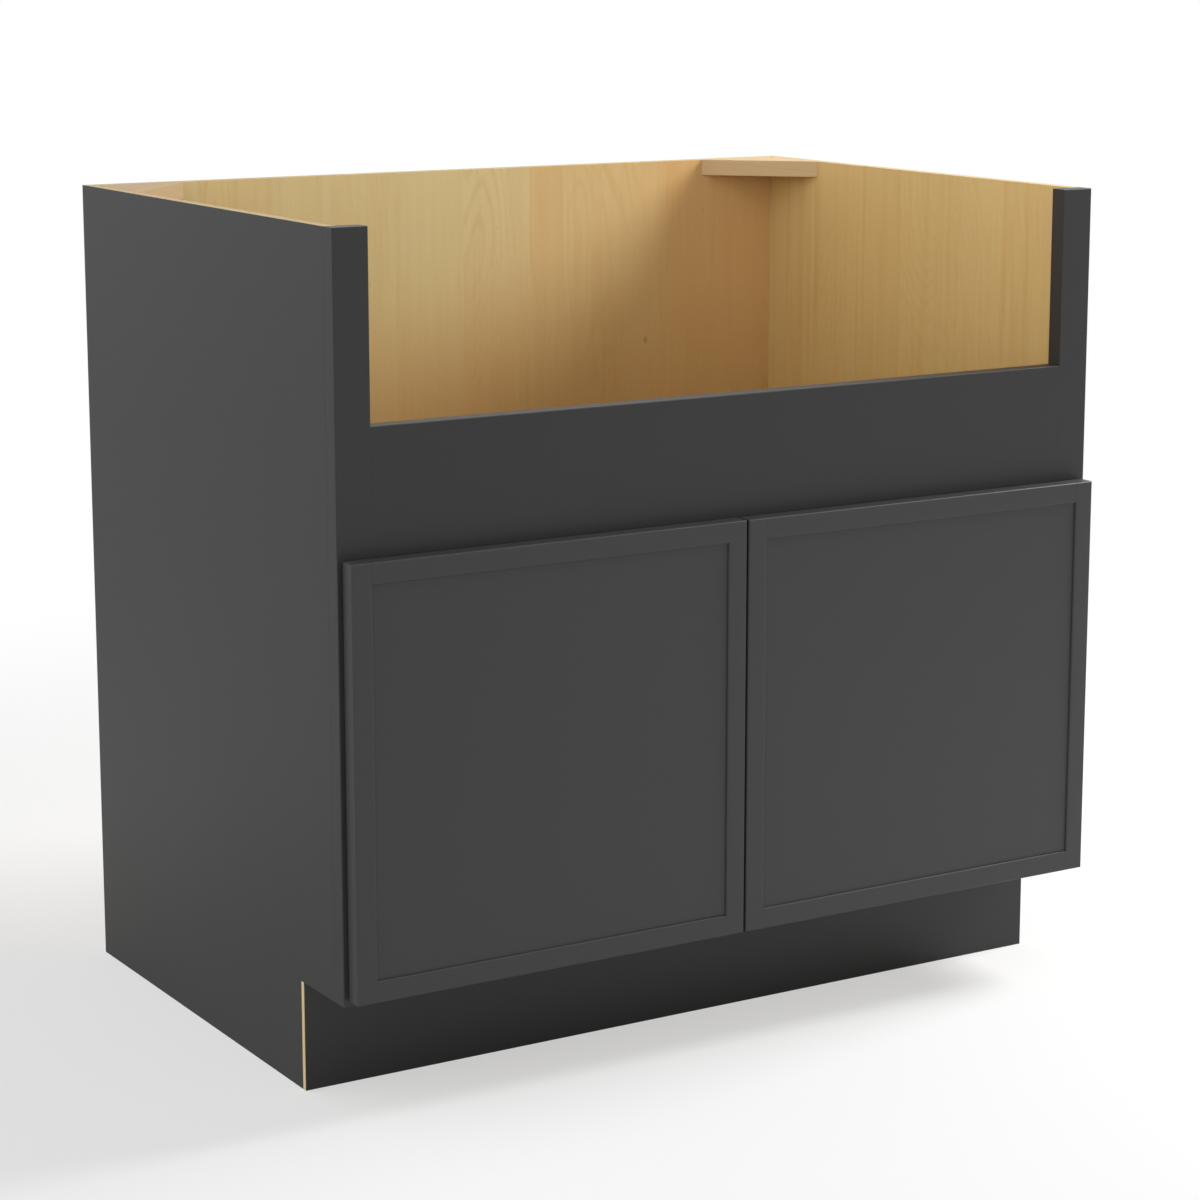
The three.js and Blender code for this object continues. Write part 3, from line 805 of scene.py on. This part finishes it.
for node in ("apron_rail", "frame_bottom_rail"):
    board = start_block(node + "_board", *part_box(node))
    ease(
        board,
        FRAME_ROUND,
        lambda at, way: near(at.y, apron_low.y) and abs(way.x) > STRAIGHT,
        segments=3,
    )
    ease(board, JOINT_EASE)
    dress(board, paint)
    complete(board, "cabinet", "charcoal_paint", node)
print("face frame of two stiles and two rails")

# %% [markdown]
# ## Door members
# A door is a slim frame round a flat panel. In section each member is an L: a narrow wall as thick
# as the door, and a thin lip that laps over the panel's front. A stile starts as the wall; it is
# sawn at the depth of the panel's face, and the inner strip ahead of the cut is pulled out as the
# lip. A rail is made the same way, but its front is shorter than its back, because the stiles'
# lips pass in front of its ends.

# %% Shape a door stile or rail
outer_low, outer_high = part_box("left_door_hinge_stile")
DOOR_FRONT, DOOR_BACK = outer_low.y, outer_high.y
DOOR_FREE_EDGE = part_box("left_door_meeting_stile")[1].x
PANEL_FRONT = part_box("left_door_panel")[0].y
SLIM_WIDTH = outer_high.x - outer_low.x
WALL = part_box("left_door_top_rail")[0].x - outer_low.x
LIP = SLIM_WIDTH - WALL


def pull_lip(piece, inward):
    """Pulls the lip out of the strip that faces inwards, ahead of the panel's face."""
    inward = Vector(inward)
    build_out(
        piece,
        lambda at, way: way.dot(inward) > STRAIGHT and at.y < PANEL_FRONT,
        inward * LIP,
    )


def door_stile(part, outer_edge, way_in):
    """way_in is 1 where the panel lies towards +x of the stile, and -1 where towards -x."""
    near_x, far_x = sorted((outer_edge, outer_edge + way_in * WALL))
    low, high = (near_x, DOOR_FRONT, outer_low.z), (far_x, DOOR_BACK, outer_high.z)
    piece = start_block(f"left_door_{part}_wood", low, high)
    saw(piece, (0, PANEL_FRONT, 0), (0, 1, 0))
    pull_lip(piece, (way_in, 0, 0))
    for height in (outer_low.z + SLIM_WIDTH, outer_high.z - SLIM_WIDTH):
        saw(piece, (0, 0, height), (0, 0, 1))
    return piece


def door_rail(part, way_in):
    """way_in is 1 where the panel lies above the rail, and -1 where below."""
    node = f"left_door_{part}"
    low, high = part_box(node)
    outer_edge = low.z if way_in > 0 else high.z
    near_z, far_z = sorted((outer_edge, outer_edge + way_in * WALL))
    piece = start_block(node + "_wood", (low.x, PANEL_FRONT, near_z), (high.x, DOOR_BACK, far_z))
    left_end, right_end = low.x + LIP, high.x - LIP
    for x in (left_end, right_end):
        saw(piece, (x, 0, 0), (1, 0, 0))
    build_out(
        piece,
        lambda at, way: way.y < -STRAIGHT and left_end < at.x < right_end,
        (0, DOOR_FRONT - PANEL_FRONT, 0),
    )
    pull_lip(piece, (0, 0, way_in))
    return piece


left_door = {
    "hinge_stile": door_stile("hinge_stile", outer_low.x, 1),
    "meeting_stile": door_stile("meeting_stile", DOOR_FREE_EDGE, -1),
    "top_rail": door_rail("top_rail", -1),
    "bottom_rail": door_rail("bottom_rail", 1),
}
print("slim frame", round(1000 * SLIM_WIDTH, 1), "mm wide, lip", round(1000 * LIP, 1), "mm")

# %% [markdown]
# ## Round the door's edges
# The rim of the door is rounded most, because that is where fingers pull it open. The lip's inner
# edge gets a smaller round, which catches a thin line of light round the panel. What is left of the
# sharp edges is eased by a hair, so each joint shows as a fine line under the paint.

# %% Round the door members
DOOR_ROUND = 0.0015
LIP_ROUND = 0.0016
DOOR_JOINT_EASE = 0.00010
RIM = (outer_low.x, DOOR_FREE_EDGE, outer_low.z, outer_high.z)
LIP_EDGES = tuple(side + inset for side, inset in zip(RIM, (SLIM_WIDTH, -SLIM_WIDTH) * 2))


def on_rectangle(at, sides, way):
    """Whether an edge lies on a rectangle given by two x values and two z values."""
    left, right, low, high = sides
    upright = abs(way.z) > STRAIGHT and (near(at.x, left) or near(at.x, right))
    level = abs(way.x) > STRAIGHT and (near(at.z, low) or near(at.z, high))
    inside = left - HAIR < at.x < right + HAIR and low - HAIR < at.z < high + HAIR
    return inside and (upright or level)


def round_rectangle(member, sides, width):
    """Rounds a member's front edges that lie on a rectangle."""
    ease(
        member,
        width,
        lambda at, way: near(at.y, DOOR_FRONT) and on_rectangle(at, sides, way),
        segments=3,
    )


for member in left_door.values():
    round_rectangle(member, RIM, DOOR_ROUND)
    round_rectangle(member, LIP_EDGES, LIP_ROUND)
    ease(member, DOOR_JOINT_EASE, segments=1)
print("rounded", len(left_door), "members of the left door")

# %% [markdown]
# ## Bores for the hinge cups
# A hinge cup sits in a round bore in the door's back, close to its edge, so the bore runs out of
# the stile into the panel. The panel is the CAD solid, which has its half of the bores already. In
# the stile they are cut with a Boolean modifier: a cylinder goes where each cup is, and the
# difference is applied.

# %% Bore the hinge stile and hang both doors
CUP_RADIUS = 0.0173
BORE_FIT = 0.0003
LEVELS = ("lower", "upper")
QUARTER_TURN = math.pi / 2
ROD_TURNS = {"x": (0, QUARTER_TURN, 0), "y": (QUARTER_TURN, 0, 0), "z": (0, 0, 0)}


def start_rod(name, centre, radius, length, axis, sides=48):
    """A cylinder primitive along one axis, round a middle point."""
    bpy.ops.object.select_all(action="DESELECT")
    bpy.ops.mesh.primitive_cylinder_add(
        vertices=sides, radius=radius, depth=length, location=centre, rotation=ROD_TURNS[axis]
    )
    return settle(name)


def combine(piece, tool, operation="DIFFERENCE"):
    """Applies a Boolean of the tool to the piece, and throws the tool away."""
    apply_modifier(piece, "BOOLEAN", operation=operation, solver="EXACT", object=tool)
    bpy.data.objects.remove(tool)


def middle_of(node):
    low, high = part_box(node)
    return (low + high) / 2


def cup_place(level):
    """The middle of a left-hand cup at the door's back, and the depth of its floor."""
    node = f"left_{level}_hinge_cup"
    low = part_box(node)[0]
    return Vector((low.x + CUP_RADIUS, DOOR_BACK, middle_of(node).z)), DOOR_BACK - low.y


for level in LEVELS:
    middle, depth = cup_place(level)
    deep = depth + BORE_FIT
    bit = start_rod("bit", middle, CUP_RADIUS + BORE_FIT, 2 * deep, "y")
    combine(left_door["hinge_stile"], bit)

for part, member in left_door.items():
    for word, wood in both(member):
        dress(wood, door_paint)
        complete(wood, f"{word}_door", "charcoal_paint", f"{word}_door_{part}")
for word in SIDES:
    dress(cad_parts[f"{word}_door_panel"], door_paint)
print("hung two doors of", len(left_door), "members and a panel each")

# %% [markdown]
# ## Hinge cups
# A concealed hinge starts with a deep-drawn cup and a flange with two ears for screws. The cup is
# a cylinder whose mouth is inset by the wall's thickness and pushed down. The flange is a flat
# block with rounded corners, joined to it. Then the mouth is cleared through the flange, a slot is
# cut across the rim for the links to pass, and a pin goes across the cup.

# %% Press a hinge cup
CUP_WALL = 0.0009
CUP_FLOOR_ROUND = 0.0006
FLANGE_CORNER = 0.0042
FLANGE_ROUND = 0.0003
FLANGE_REACH = 0.011  # from the cup's middle towards the door's edge
MOUTH_CUT = 0.006  # the length of the tool that clears the mouth
SLOT_DEPTH = 0.0018
SLOT_SIZE = (0.030, 0.0080)  # half its length and half its width
SLOT_OVERRUN = 0.001
SCREW_HOLE = (0.0022, 0.008)  # its radius, and its length through ears and door
PIN_RADIUS = 0.0010
CUP_PIN_PLACE = (0.01535, 0.00464)  # from the door's edge, and below the door's back
SMALL_ROD_SIDES = 24


def press_cup(name, level):
    middle, depth = cup_place(level)
    node_low, node_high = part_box(f"left_{level}_hinge_cup")
    flange_back = node_high.y
    tall = depth + flange_back - DOOR_BACK
    cup = start_rod(name, (middle.x, node_low.y + tall / 2, middle.z), CUP_RADIUS, tall, "y")
    begin_edit(cup)
    pick(cup, "FACE", facing("y", 1))
    bpy.ops.mesh.inset(thickness=CUP_WALL)
    extrude((0, CUP_WALL - tall, 0))
    end_edit()
    ease(cup, CUP_FLOOR_ROUND, level_with("y", node_low.y))

    flange = start_block(
        "flange",
        (middle.x - FLANGE_REACH, DOOR_BACK, node_low.z),
        (node_high.x, flange_back, node_high.z),
    )
    ease(flange, FLANGE_CORNER, facing("y"), segments=6)
    ease(flange, FLANGE_ROUND, level_with("y", flange_back))
    mouth_middle = (middle.x, flange_back, middle.z)
    combine(flange, start_rod("mouth", mouth_middle, CUP_RADIUS - CUP_WALL, MOUTH_CUT, "y"))
    combine(cup, flange, "UNION")
    length, width = SLOT_SIZE
    slot = start_block(
        "slot",
        (middle.x - length, DOOR_BACK - SLOT_DEPTH, middle.z - width),
        (middle.x + length, flange_back + SLOT_OVERRUN, middle.z + width),
    )
    combine(cup, slot)
    for i in (1, 2):
        spot = middle_of(f"left_{level}_hinge_cup_screw_{i}")
        spot.y = flange_back
        combine(cup, start_rod("hole", spot, *SCREW_HOLE, "y", SMALL_ROD_SIDES))
    pin_x = outer_low.x + CUP_PIN_PLACE[0]
    pin_middle = (pin_x, DOOR_BACK - CUP_PIN_PLACE[1], middle.z)
    reach = math.sqrt((CUP_RADIUS - CUP_WALL / 2) ** 2 - (pin_x - middle.x) ** 2)
    pin = start_rod("pin", pin_middle, PIN_RADIUS, 2 * reach, "z", SMALL_ROD_SIDES)
    only(cup)
    pin.select_set(True)
    bpy.ops.object.join()
    return cup


cups = {level: press_cup(f"left_{level}_hinge_cup_steel", level) for level in LEVELS}
print("pressed cups with", len(cups["lower"].data.polygons), "faces")

# %% [markdown]
# ## Links and arms
# The links and the arm are bent steel strip. The CAD solids have their right outlines, so each
# piece starts as a copy of its solid. The copy's loose triangles are merged, its flat faces are
# joined up again, and a small bevel rounds the edges as pressing and tumbling do.

# %% Round the links and arms
STRIP_ROUND = 0.00028
BEND_ANGLE = math.radians(40)
FLAT_ANGLE = math.radians(2)
MERGE_GAP = 0.00001


def rounded_copy(node):
    """A copy of a CAD solid with merged corners, whole flat faces and rounded edges."""
    piece = copy_of(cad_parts[node], node + "_steel")
    piece.parent = None
    for key in list(piece.keys()):
        del piece[key]
    begin_edit_all(piece)
    bpy.ops.mesh.remove_doubles(threshold=MERGE_GAP)
    bpy.ops.mesh.dissolve_limited(angle_limit=FLAT_ANGLE)
    end_edit()
    bends = {"limit_method": "ANGLE", "angle_limit": BEND_ANGLE}
    apply_modifier(piece, "BEVEL", width=STRIP_ROUND, segments=2, **bends)
    return piece


HINGE_BODIES = {
    "cup": "{word}_door",
    "outer_link": "{word}_outer_links",
    "inner_link": "{word}_inner_links",
    "arm": "cabinet",
}
for level in LEVELS:
    steel = {"cup": cups[level]}
    for part in ("outer_link", "inner_link", "arm"):
        steel[part] = rounded_copy(f"left_{level}_hinge_{part}")
    for part, piece in steel.items():
        for word, made in both(piece):
            dress(made, nickel)
            body = HINGE_BODIES[part].format(word=word)
            complete(made, body, "hinge_steel", f"{word}_{level}_hinge_{part}")
print("four hinges of", len(HINGE_BODIES), "steel parts")

# %% [markdown]
# ## Screws
# All screws have a low round head with a cross recess. One is modelled lying along x at the origin:
# a short cylinder for the head, whose under-side is inset to the shank's width and pulled out
# twice, the second time to a point. Two tapered blades then cut the cross. It is copied, turned and
# moved to each screw's place in the CAD model.

# %% Turn a screw
SHANK_SHARE = 0.53  # of the head's radius
STRAIGHT_SHARE = 0.8  # of the shank's length, ahead of its point
POINT_SHARE = 0.12  # of the shank's radius, left at the very tip
HEAD_ROUND_SHARE = 0.35  # of the head's height
CROSS_SHARE = (1.1, 0.22, 0.30)  # the cross's length, width and depth, in head radii
CROSS_TAPER = 0.6
HEAD_SIDES = 32


def narrow(centre, share):
    """Shrinks what is selected towards an axis along x."""
    bpy.ops.transform.resize(value=(1, share, share), center_override=centre)


def turn_screw(name, head_radius, head_height, length):
    """A screw whose head seats at x = 0 and whose point lies at +x."""
    screw = start_rod(name, (-head_height / 2, 0, 0), head_radius, head_height, "x", HEAD_SIDES)
    begin_edit(screw)
    pick(screw, "FACE", facing("x", 1))
    bpy.ops.mesh.inset(thickness=head_radius * (1 - SHANK_SHARE))
    for share in (STRAIGHT_SHARE, 1 - STRAIGHT_SHARE):
        extrude((share * length, 0, 0))
    narrow((length, 0, 0), POINT_SHARE)
    end_edit()
    ease(screw, HEAD_ROUND_SHARE * head_height, level_with("x", -head_height), segments=3)
    long, wide, deep = (share * head_radius for share in CROSS_SHARE)
    for flat, edge in ((long, wide), (wide, long)):
        blade = start_block(
            "blade",
            (-head_height - deep, -flat / 2, -edge / 2),
            (deep - head_height, flat / 2, edge / 2),
        )
        begin_edit(blade)
        pick(blade, "FACE", facing("x", 1))
        narrow((0, 0, 0), CROSS_TAPER)
        end_edit()
        combine(screw, blade)
    return screw


SCREW_HEAD_RADIUS = 0.0036
CUP_SCREW_HEAD = 0.0005
ARM_SCREW_HEAD = 0.0014
cup_screw = turn_screw("cup_screw_model", SCREW_HEAD_RADIUS, CUP_SCREW_HEAD, length=0.010)
arm_screw = turn_screw("arm_screw_model", SCREW_HEAD_RADIUS, ARM_SCREW_HEAD, length=0.020)
adjuster = turn_screw("adjuster_model", 0.0020, 0.0009, length=0.0015)
print("turned three kinds of screw, each of", len(arm_screw.data.polygons), "faces")

# %% [markdown]
# ## Screws in their places
# Cup screws point into the door, so their model is turned to face forwards. Arm screws point
# outwards into the stile. Beside each upper arm screw sits the small adjuster that shifts the door
# sideways, which the CAD model leaves out.

# %% Drive the screws
FORWARDS = -QUARTER_TURN
OUTWARDS = {"left": math.pi, "right": 0.0}
ADJUSTER_RISE = 0.01185  # above the hinge's middle


def drive(model, name, seat, turn):
    """A copy of a screw with its seat at a point, turned about z to point another way."""
    screw = copy_of(model, name)
    begin_edit_all(screw)
    bpy.ops.transform.rotate(value=-turn, orient_axis="Z", center_override=(0, 0, 0))
    bpy.ops.transform.translate(value=seat)
    end_edit()
    dress(screw, zinc)
    return screw


for word, side in SIDES.items():
    turn = OUTWARDS[word]
    for level in LEVELS:
        hinge = f"{word}_{level}_hinge"
        for i in (1, 2):
            node = f"{hinge}_cup_screw_{i}"
            seat = middle_of(node)
            seat.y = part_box(node)[1].y - CUP_SCREW_HEAD
            made = drive(cup_screw, node + "_zinc", seat, FORWARDS)
            complete(made, f"{word}_door", "screw_steel", node)
            node = f"{hinge}_arm_screw_{i}"
            low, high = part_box(node)
            seat = middle_of(node)
            seat.x = (high if side < 0 else low).x + side * ARM_SCREW_HEAD
            made = drive(arm_screw, node + "_zinc", seat, turn)
            complete(made, "cabinet", "screw_steel", node)
        seat.z = middle_of(f"{hinge}_arm").z + ADJUSTER_RISE
        complete(drive(adjuster, f"{hinge}_adjuster", seat, turn), "cabinet", "screw_steel")
for model in (cup_screw, arm_screw, adjuster):
    bpy.data.objects.remove(model)
print("drove 16 screws and 4 adjusters")

# %% [markdown]
# ## Bumpers
# A drop of clear rubber near each free corner of a door keeps paint from touching paint. It is a
# low cylinder whose outer rim is rounded almost to the middle, which makes it a dome with a flat
# foot.

# %% Bumpers
DOME_SHARE = 0.8  # of the bumper's height
DOME_SIDES = 32

for word in SIDES:
    for level in LEVELS:
        node = f"{word}_{level}_bumper"
        low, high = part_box(node)
        tall, across = high.y - low.y, high.z - low.z
        dome = start_rod(node + "_dome", middle_of(node), across / 2, tall, "y", DOME_SIDES)
        ease(dome, DOME_SHARE * tall, level_with("y", high.y), segments=5)
        dress(dome, rubber)
        complete(dome, f"{word}_door", "bumper", node)
print("four bumpers")

# %% [markdown]
# ## Floor and backdrop
# The cabinet stands on a plain pale floor that fades to white, with no horizon. The floor is one
# large round plate. What the camera sees of it turns from a surface that catches the cabinet's
# shadow, near the cabinet, to plain white further out. For every other ray it is a pale matt
# floor, and the world behind it is white to the camera and in reflections only.

# %% Lay the floor
FLOOR_RADIUS = 9.0
FLOOR_SIDES = 96
SHADOW_REACH = (0.9, 2.2)  # where the floor starts and ends its fade to white, in metres
SHADOW_LIFT = 0.5  # how far the camera sees the shadow lightened, as in a shop picture
FLOOR_SEEN = (0.82, 0.82, 0.82)  # to the camera
FLOOR_PALE = (0.88, 0.88, 0.88)  # to all other rays
WHITE = (1, 1, 1, 1)


def floor_finish():
    finish = Finish("studio_floor")
    x, y = axes(finish)[:2]
    distance = single("SQRT", x * x + y * y)
    fade = rise(distance, *SHADOW_REACH)
    camera = finish.node("LightPath", output="Is Camera Ray")
    matt = surface(
        finish,
        Base_Color=blend(camera, FLOOR_PALE, FLOOR_SEEN),
        Roughness=0.85 + 0.1 * noise(own_place(finish), 300),
        Specular_IOR_Level=0.1,
    )
    white = finish.node("Emission", None, {"Color": WHITE, "Strength": 1.0})
    lift = SHADOW_LIFT + (1 - SHADOW_LIFT) * fade
    mixed = finish.node("MixShader", None, {0: lift * camera, 1: matt, 2: white})
    finish.node("OutputMaterial", None, {"Surface": mixed})
    return finish.owner


bpy.ops.object.select_all(action="DESELECT")
bpy.ops.mesh.primitive_circle_add(vertices=FLOOR_SIDES, radius=FLOOR_RADIUS, fill_type="NGON")
floor = bpy.context.object
floor.name = "studio_floor"
floor.data.materials.append(floor_finish())
print("floor of", FLOOR_RADIUS, "m radius")

# %% [markdown]
# ## World and lamps
# The world gives a soft light from all round. It is weaker from overhead, so the depths of the box
# stay dark, and strongest from the left, where a studio would have a large reflector. One lamp
# hangs high on the right. It shines over the right-hand panel onto the back and the left side,
# gives the slanting shadow inside, and throws a wide soft shadow on the floor to the left.

# %% Light the scene
EYE_LEVEL_LIGHT = 0.86
OVERHEAD_LIGHT = 0.4
LEFT_GAIN = 0.9  # how much more light comes from the far left, and less from the far right
LEFT_FOCUS = 1.5  # the power that gathers that gain towards the far left
LAMP_PLACE = (2.4, -0.35, 2.05)
LAMP_AIM = (0, 0, 0.55)
LAMP_SIZE = 1.2
LAMP_POWER = 106


def light_world():
    """White to the camera and in reflections; for matt surfaces a light that varies all round."""
    sky = Finish("studio", "worlds")
    bpy.context.scene.world = sky.owner
    way = sky.node("TexCoord", output="Generated")
    x, z = (sky.node("SeparateXYZ", None, {0: way}, axis) for axis in "XZ")
    height = EYE_LEVEL_LIGHT + (OVERHEAD_LIGHT - EYE_LEVEL_LIGHT) * rise(z)
    level = height * (1 - LEFT_GAIN * x) ** LEFT_FOCUS
    camera, glossy, through = (
        sky.node("LightPath", output=f"Is {kind} Ray") for kind in ("Camera", "Glossy", "Transmission")
    )
    clear = camera.maths("MAXIMUM", camera.maths("MAXIMUM", camera, glossy), through)
    strength = level + (1 - level) * clear
    light = sky.node("Background", None, {"Color": WHITE, "Strength": strength})
    sky.node("OutputWorld", None, {"Surface": light})


def soft_lamp(name, place, aim, size, power):
    """A round area lamp that shines from one point towards another."""
    way = Vector(aim) - Vector(place)
    turn = way.to_track_quat("-Z", "Y").to_euler()
    bpy.ops.object.light_add(type="AREA", location=place, rotation=turn)
    lamp = bpy.context.object
    lamp.name = name
    lamp.data.shape = "DISK"
    lamp.data.size = size
    lamp.data.energy = power
    return lamp


light_world()
key_lamp = soft_lamp("lamp_right", LAMP_PLACE, LAMP_AIM, LAMP_SIZE, LAMP_POWER)
print(key_lamp.name, "of", key_lamp.data.energy, "W")

# %% [markdown]
# ## Camera
# The place, turn and lens come from a fit of the cabinet's own corners to the photograph. The
# photograph keeps all uprights parallel, which takes a large lens shift. A camera that looks a
# little down, with a small shift, shows the object almost the same and frames it in any other view.

# %% Set up the camera
CAMERA_PLACE = (-1.77080, -2.938425, 1.14128)
CAMERA_TURN = 31.2806  # degrees from straight ahead, towards the right
CAMERA_DIP = 10.8010
LENS = 94.583
SENSOR_WIDTH = 36
SHIFT_UP = -0.05

bpy.ops.object.camera_add(
    location=CAMERA_PLACE,
    rotation=(math.radians(90 - CAMERA_DIP), 0, math.radians(-CAMERA_TURN)),
)
camera = bpy.context.object
camera.name = "camera"
camera.data.lens = LENS
camera.data.sensor_width = SENSOR_WIDTH
camera.data.shift_y = SHIFT_UP
bpy.context.scene.camera = camera
bpy.context.scene.view_settings.view_transform = "Standard"
print("camera at", CAMERA_PLACE)
